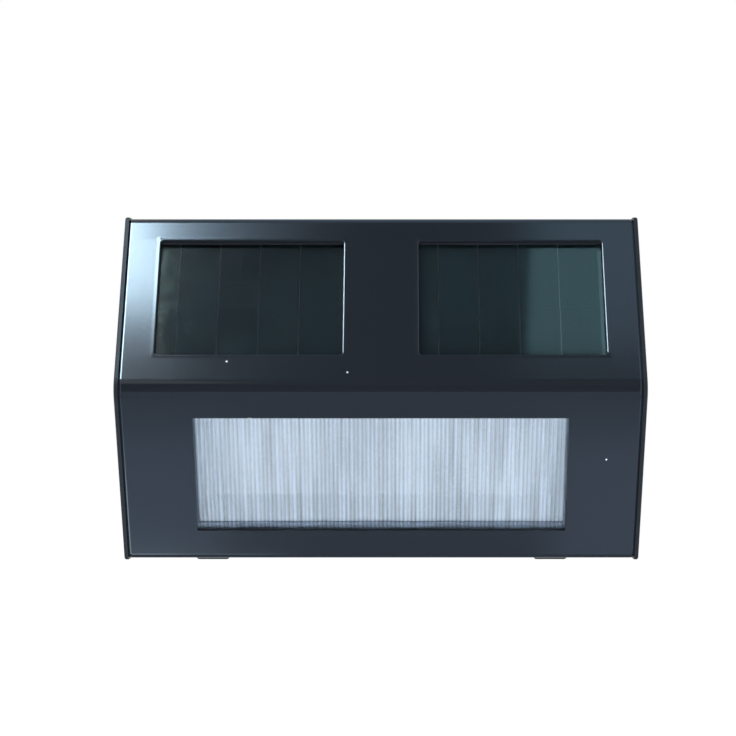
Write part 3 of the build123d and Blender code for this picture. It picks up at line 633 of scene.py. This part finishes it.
def open_windows(bm, plane, faces, inner, outer, low, high, bead=0.0):
    """Cuts a pair of windows, or one where they meet, and returns the edges round them.

    A bead is a strip round each window, marked off by cuts of its own.
    """
    levels = sorted({low - bead, low, high, high + bead})
    strip = cut_across(bm, faces, plane, 1, levels)
    strip = spans(plane, strip, 1, levels[0], levels[-1])
    sides = {inner - bead, inner, outer, outer + bead} if bead else {inner, outer}
    panes = cut_across(bm, strip, plane, 0, sorted(sides | {-side for side in sides}))
    panes = spans(plane, panes, 0, -outer, -inner) + spans(plane, panes, 0, inner, outer)
    panes = spans(plane, panes, 1, low, high)
    rim = {
        edge
        for pane in panes
        for edge in pane.edges
        if len({*edge.link_faces} - {*panes}) == 1
    }
    bmesh.ops.delete(bm, geom=panes, context="FACES")
    return [edge for edge in rim if edge.is_valid]


def round_edges(bm, edges, offset, segments):
    """Rounds edges by an offset, in an arc of a number of steps."""
    bmesh.ops.bevel(
        bm,
        geom=edges,
        offset=offset,
        offset_type="OFFSET",
        segments=segments,
        profile=0.5,
        affect="EDGES",
        material=-1,
    )


# ---------------------------------------- folded cover
def draw_sheet(bm):
    """The cover's side line drawn across and its three folds rounded."""
    side_line = [
        bm.verts.new((-cover_length / 2, y, z))
        for y, z in (
            (-wall_setback, half_height),
            (-top_reach, half_height),
            (-bend_reach, 0),
            (-bottom_reach, -half_height),
            (-wall_setback, -half_height),
        )
    ]
    edges = [bm.edges.new(pair) for pair in zip(side_line, side_line[1:])]
    drawn = bmesh.ops.extrude_edge_only(bm, edges=edges)["geom"]
    far_end = only(bmesh.types.BMVert, drawn)
    bmesh.ops.translate(bm, verts=far_end, vec=(cover_length, 0, 0))
    bmesh.ops.recalc_face_normals(bm, faces=bm.faces)
    for reach, radius, steps in (
        (bend_reach, bend_radius, bend_steps),
        (top_reach, fold_radius, fold_steps),
        (bottom_reach, fold_radius, fold_steps),
    ):
        fold = [
            edge
            for edge in bm.edges
            if len(edge.link_faces) == 2
            and all(abs(vert.co.y + reach) < on_line for vert in edge.verts)
        ]
        round_edges(bm, fold, radius * math.tan(fold[0].calc_face_angle() / 2), steps)


def lip_edges(bm, skin):
    """The edges between the facet's skin and the walls of its windows."""
    back = upper_facet.inverted()

    def at_window(vert):
        place = back @ vert.co
        between = panel_window_low - on_line < place.y < panel_window_high + on_line
        return abs(place.x) < panel_window_outer + on_line and between

    def deepest(edge):
        return min((back @ vert.co).z for face in edge.link_faces for vert in face.verts)

    return [
        edge
        for edge in bm.edges
        if len(edge.link_faces) == 2
        and sum(face in skin for face in edge.link_faces) == 1
        and deepest(edge) > -rim_depth - on_line
        and all(at_window(vert) for vert in edge.verts)
    ]


def draw_rims_in(bm, rim):
    """Raises a bead round each panel window, then turns the window's edge in with a rolled lip."""
    out = upper_facet.to_3x3() @ Vector((0, 0, 1))
    bead = list({vert for edge in rim for vert in edge.verts})
    bmesh.ops.translate(bm, verts=bead, vec=out * bead_rise)
    drawn = bmesh.ops.extrude_edge_only(bm, edges=rim)["geom"]
    walls = only(bmesh.types.BMFace, drawn)
    bmesh.ops.translate(bm, verts=only(bmesh.types.BMVert, drawn), vec=out * -rim_depth)
    uprights = [
        edge
        for edge in {edge for wall in walls for edge in wall.edges}
        if len(edge.link_faces) == 2 and all(face in walls for face in edge.link_faces)
    ]
    round_edges(bm, uprights, panel_window_corner, corner_steps)
    bmesh.ops.recalc_face_normals(bm, faces=bm.faces)
    skin = set(faces_on(bm, upper_facet, 2 * bead_rise))
    round_edges(bm, lip_edges(bm, skin), rim_roll, roll_steps)
    flat = set(faces_on(bm, upper_facet))
    for face in skin:
        if face.is_valid and face not in flat:
            for edge in face.edges:
                edge.smooth = not flat.intersection(edge.link_faces)


def roll_ends(bm):
    """Lets the sheet's two ends down a little, from a line near each end."""
    end_line = cover_length / 2 - end_roll_width
    for side in (-1, 1):
        bmesh.ops.bisect_plane(
            bm,
            geom=bm.verts[:] + bm.edges[:] + bm.faces[:],
            dist=on_cut,
            plane_co=(side * end_line, 0, 0),
            plane_no=(1, 0, 0),
        )
    bmesh.ops.recalc_face_normals(bm, faces=bm.faces)
    bm.normal_update()
    for edge in bm.edges:
        if all(abs(abs(vert.co.x) - end_line) < on_line for vert in edge.verts):
            edge.smooth = False
    for vert in bm.verts:
        if abs(vert.co.x) > cover_length / 2 - on_line:
            vert.co -= vert.normal * end_roll_drop


def thicken_sheet(bm):
    """Gives the sheet its thickness inwards."""
    bm.normal_update()
    doubled = bmesh.ops.extrude_face_region(bm, geom=bm.faces[:], use_keep_orig=True)["geom"]
    for vert in only(bmesh.types.BMVert, doubled):
        vert.co -= vert.normal * sheet_thickness


def make_cover():
    """The folded sheet with its hook slots, its lens window and its two panel windows."""
    bm = bmesh.new()
    draw_sheet(bm)
    under = Matrix.Translation((0, 0, -half_height))
    open_windows(
        bm,
        under,
        faces_on(bm, under),
        hook_slot_inner,
        hook_slot_outer,
        hook_slot_front,
        hook_slot_rear,
    )
    lens_high = -lens_window_drop
    lens_low = lens_high - lens_window_length
    lower_faces = faces_on(bm, lower_facet)
    open_windows(bm, lower_facet, lower_faces, 0, lens_window_side, lens_low, lens_high)
    rim = open_windows(
        bm,
        upper_facet,
        faces_on(bm, upper_facet),
        panel_window_inner,
        panel_window_outer,
        panel_window_low,
        panel_window_high,
        bead_width,
    )
    draw_rims_in(bm, rim)
    roll_ends(bm)
    thicken_sheet(bm)
    return piece_from(bm, "folded_cover", "coated_steel", cover_crease)


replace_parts(make_cover(), "front_cover")


# ---------------------------------------- panel glass
def make_pane(side, name):
    """One glass pane behind a window: a rectangle drawn to its thickness, with eased edges."""
    across = side * window_middle + glass_shift
    rise = (panel_window_low + panel_window_high) / 2
    bm = bmesh.new()
    bmesh.ops.create_grid(bm, x_segments=1, y_segments=1, size=0.5)
    bmesh.ops.scale(bm, vec=(glass_width, glass_length, 1), verts=bm.verts)
    drawn = bmesh.ops.extrude_face_region(bm, geom=bm.faces[:])["geom"]
    lower_side = only(bmesh.types.BMVert, drawn)
    bmesh.ops.translate(bm, verts=lower_side, vec=(0, 0, -glass_thickness))
    round_edges(bm, bm.edges[:], glass_edge, glass_edge_steps)
    bmesh.ops.translate(bm, verts=bm.verts, vec=(across, rise, -glass_depth))
    bmesh.ops.transform(bm, matrix=upper_facet, verts=bm.verts)
    return piece_from(bm, name, "panel_glass")


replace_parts(make_pane(-1, "left_pane"), "left_solar_glass")
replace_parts(make_pane(1, "right_pane"), "right_solar_glass")


# ---------------------------------------- reeded lens
def make_lens():
    """The clear plate with its vertical reeds.

    One arc is spun from a point, repeated across, closed into a section and drawn up the slope.
    """
    radius = ((reed_pitch / 2) ** 2 + reed_height**2) / (2 * reed_height)
    sweep = 2 * math.asin(reed_pitch / 2 / radius)
    first_valley = -reed_pitch * reed_count / 2
    crest_centre = Vector((first_valley + reed_pitch / 2, 0, -radius))
    bm = bmesh.new()
    start = bm.verts.new((first_valley, 0, -reed_height))
    bmesh.ops.spin(
        bm,
        geom=[start],
        cent=crest_centre,
        axis=(0, 1, 0),
        angle=sweep,
        steps=reed_steps,
        use_merge=False,
    )
    arc = bm.verts[:] + bm.edges[:]
    for reed in range(1, reed_count):
        copy = only(bmesh.types.BMVert, bmesh.ops.duplicate(bm, geom=arc)["geom"])
        bmesh.ops.translate(bm, verts=copy, vec=(reed * reed_pitch, 0, 0))
    bmesh.ops.remove_doubles(bm, verts=bm.verts, dist=reed_pitch / 100)
    ends = sorted((v for v in bm.verts if len(v.link_edges) == 1), key=lambda v: v.co.x)
    outline = [ends[0]]
    for x, depth in (
        (first_valley, 0),
        (-lens_width / 2, 0),
        (-lens_width / 2, -lens_thickness),
        (lens_width / 2, -lens_thickness),
        (lens_width / 2, 0),
        (-first_valley, 0),
    ):
        outline.append(bm.verts.new((x, 0, depth)))
    outline.append(ends[1])
    for near, far in zip(outline, outline[1:]):
        bm.edges.new((near, far))
    section = bmesh.ops.contextual_create(bm, geom=bm.edges[:])["faces"]
    drawn = bmesh.ops.extrude_face_region(bm, geom=section)["geom"]
    bmesh.ops.translate(bm, verts=only(bmesh.types.BMVert, drawn), vec=(0, lens_length, 0))
    foot = -(lens_window_drop + lens_window_length / 2) - lens_length / 2
    bmesh.ops.translate(bm, verts=bm.verts, vec=(0, foot, -lens_depth))
    bmesh.ops.transform(bm, matrix=lower_facet, verts=bm.verts)
    return piece_from(bm, "reeded_lens", "clear_acrylic")


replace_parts(make_lens(), "lens")

# ---------------------------------------- floor, surroundings, cards and lamps, in metres
floor_level = -0.32
floor_reach = 4.0
floor_glow = 0.62
room_level = 0.5


def stage_sheet(name, corners, material):
    """A flat four-cornered sheet that isn't part of the object."""
    bm = bmesh.new()
    bm.faces.new([bm.verts.new(corner) for corner in corners])
    mesh = bpy.data.meshes.new(name)
    bm.to_mesh(mesh)
    bm.free()
    mesh.materials.append(material)
    sheet = bpy.data.objects.new(name, mesh)
    bpy.context.scene.collection.objects.link(sheet)
    return sheet


def level_corners(left, right, front, rear, height):
    """The corners of a sheet that lies level."""
    return [(x, y, height) for x, y in ((left, front), (right, front), (right, rear), (left, rear))]


def dull_material(name, colour, glow_colour, glow_level):
    """A dull surface that may glow."""
    material = bpy.data.materials.new(name)
    material.use_nodes = True
    shader = material.node_tree.nodes["Principled BSDF"]
    shader.inputs["Base Color"].default_value = colour
    shader.inputs["Roughness"].default_value = 0.9
    shader.inputs["Specular IOR Level"].default_value = 0.0
    shader.inputs["Emission Color"].default_value = glow_colour
    shader.inputs["Emission Strength"].default_value = glow_level
    return material


def seen_directly(tree):
    """One for camera, glossy and transmission rays, nought for rays that light a surface."""
    path = tree.nodes.new("ShaderNodeLightPath")
    seen = path.outputs["Is Camera Ray"]
    for kind in ("Is Glossy Ray", "Is Transmission Ray"):
        seen = math_node(tree, "MAXIMUM", seen, path.outputs[kind])
    return seen


floor_material = dull_material("pale_floor", (0.8, 0.8, 0.8, 1), (1, 1, 1, 1), 0.0)
floor_tree = floor_material.node_tree
floor_tree.links.new(
    math_node(floor_tree, "MULTIPLY", seen_directly(floor_tree), floor_glow),
    floor_tree.nodes["Principled BSDF"].inputs["Emission Strength"],
)
floor_corners = level_corners(-floor_reach, floor_reach, -floor_reach, floor_reach, floor_level)
stage_sheet("floor", floor_corners, floor_material)

world = bpy.data.worlds.new("white_surroundings")
bpy.context.scene.world = world
world.use_nodes = True
world_tree = world.node_tree
glow = world_tree.nodes["Background"]
glow.inputs["Color"].default_value = (1, 1, 1, 1)
direct_part = math_node(world_tree, "MULTIPLY", seen_directly(world_tree), 1 - room_level)
world_tree.links.new(
    math_node(world_tree, "ADD", room_level, direct_part), glow.inputs["Strength"]
)


def mirror_card(name, corners, colour, level):
    """A card that shows only as a reflection in the glossy surfaces."""
    card = stage_sheet(name, corners, dull_material(name, (0.01, 0.01, 0.01, 1), colour, level))
    card.visible_camera = False
    card.visible_diffuse = False
    card.visible_shadow = False


# cards overhead, which the upper facet and its glass mirror
high_level = 0.5
left_end = -0.122
dark_end = 0.074
side_end = 0.118
far_end = 0.6
room_front = -1.6
dark_front = -0.318
dark_rear = -0.160
dim_blue = (0.72, 0.82, 1, 1)
window_corners = [
    (left_end - 0.003, -0.290, high_level),
    (left_end, -0.215, high_level),
    (-0.700, 0.100, high_level),
    (-0.700, -0.250, high_level),
]
for name, edges, colour, level in (
    ("dark_card", (left_end, dark_end, dark_front, dark_rear), dim_blue, 0.17),
    ("front_card", (left_end, far_end, room_front, dark_front), dim_blue, 0.17),
    ("side_card", (dark_end, side_end, dark_front, dark_rear), (0.50, 0.80, 0.95, 1), 1.7),
    ("right_card", (side_end, far_end, dark_front, dark_rear), (0.60, 0.78, 1, 1), 1.5),
    ("blue_card", (left_end, far_end, dark_rear, far_end), (0.6, 0.8, 1, 1), 0.9),
):
    mirror_card(name, level_corners(*edges, high_level), colour, level)
mirror_card("window_card", window_corners, (0.74, 0.91, 1, 1), 38)

# three strips just under them, which let the window's glare fade to the right
curtain_front = -0.240
curtain_rear = -0.190
curtain_level = high_level - 0.005
for left, right, level in ((left_end, -0.100, 12), (-0.100, -0.075, 5), (-0.075, -0.045, 1.8)):
    corners = level_corners(left, right, curtain_front, curtain_rear, curtain_level)
    mirror_card("curtain_card", corners, (0.66, 0.84, 1, 1), level)

# the wall behind the camera, then cards on the floor, which the lower facet mirrors
low_level = floor_level + 0.01
rear_half = 1.2
rear_top = 0.8
low_step = -0.225
low_rear = -0.06
low_side = 0.07
low_end = 0.5
low_blue = (0.62, 0.78, 1, 1)
rear_corners = [
    (-rear_half, room_front, low_level),
    (rear_half, room_front, low_level),
    (rear_half, room_front, rear_top),
    (-rear_half, room_front, rear_top),
]
mirror_card("rear_card", rear_corners, (0.75, 0.85, 1, 1), 0.06)
for name, edges, colour, level in (
    ("low_front_card", (-far_end, far_end, room_front, low_step), low_blue, 0.5),
    ("low_middle_card", (-low_side, low_side, low_step, low_rear), (0.7, 0.8, 1, 1), 0.5),
    ("low_right_card", (low_side, low_end, low_step, low_rear), low_blue, 1.2),
    ("low_left_card", (-low_end, -low_side, low_step, low_rear), low_blue, 1.2),
    ("under_card", (-far_end, far_end, low_rear, low_end), (0.66, 0.82, 1, 1), 0.3),
):
    mirror_card(name, level_corners(*edges, low_level), colour, level)

# two brighter patches above them, for the light along the bottom fold's left half
patch_front = -0.145
patch_rear = -0.095
patch_level = low_level + 0.01
for left, right, level in ((-0.35, -0.085, 6.0), (-0.085, -0.045, 2.5)):
    corners = level_corners(left, right, patch_front, patch_rear, patch_level)
    mirror_card("patch_card", corners, (0.8, 0.92, 1, 1), level)


def lamp(name, place, target, width, height, power, colour):
    """A soft rectangular lamp that faces the target and shows in no picture or reflection."""
    light = bpy.data.lights.new(name, "AREA")
    light.shape = "RECTANGLE"
    light.size = width
    light.size_y = height
    light.energy = power
    light.color = colour
    holder = bpy.data.objects.new(name, light)
    holder.location = place
    facing = Vector(target) - Vector(place)
    holder.rotation_euler = facing.to_track_quat("-Z", "Y").to_euler()
    holder.visible_camera = False
    holder.visible_glossy = False
    bpy.context.scene.collection.objects.link(holder)


lamp(
    "window_lamp",
    place=(-0.5, -0.3, 0.6),
    target=(0, -0.03, 0),
    width=0.3,
    height=0.3,
    power=2,
    colour=(0.80, 0.94, 1.0),
)
lamp(
    "front_lamp",
    place=(0.05, -0.75, -0.24),
    target=(0, -0.04, -0.02),
    width=0.8,
    height=0.12,
    power=12.5,
    colour=(1, 1, 1),
)

# ---------------------------------------- camera at the photograph's place
camera_data = bpy.data.cameras.new("photo_camera")
camera_data.sensor_width = 36.0
camera_data.lens = 110.74
camera_data.shift_x = -0.0430
camera_data.shift_y = 0.0006
camera_data.clip_start = 0.01
camera = bpy.data.objects.new("photo_camera", camera_data)
camera.location = (0.0054, -0.688, 0.00585)
camera.rotation_euler = (math.radians(90), 0, 0)
bpy.context.scene.collection.objects.link(camera)
bpy.context.scene.camera = camera
bpy.context.scene.view_settings.view_transform = "Standard"
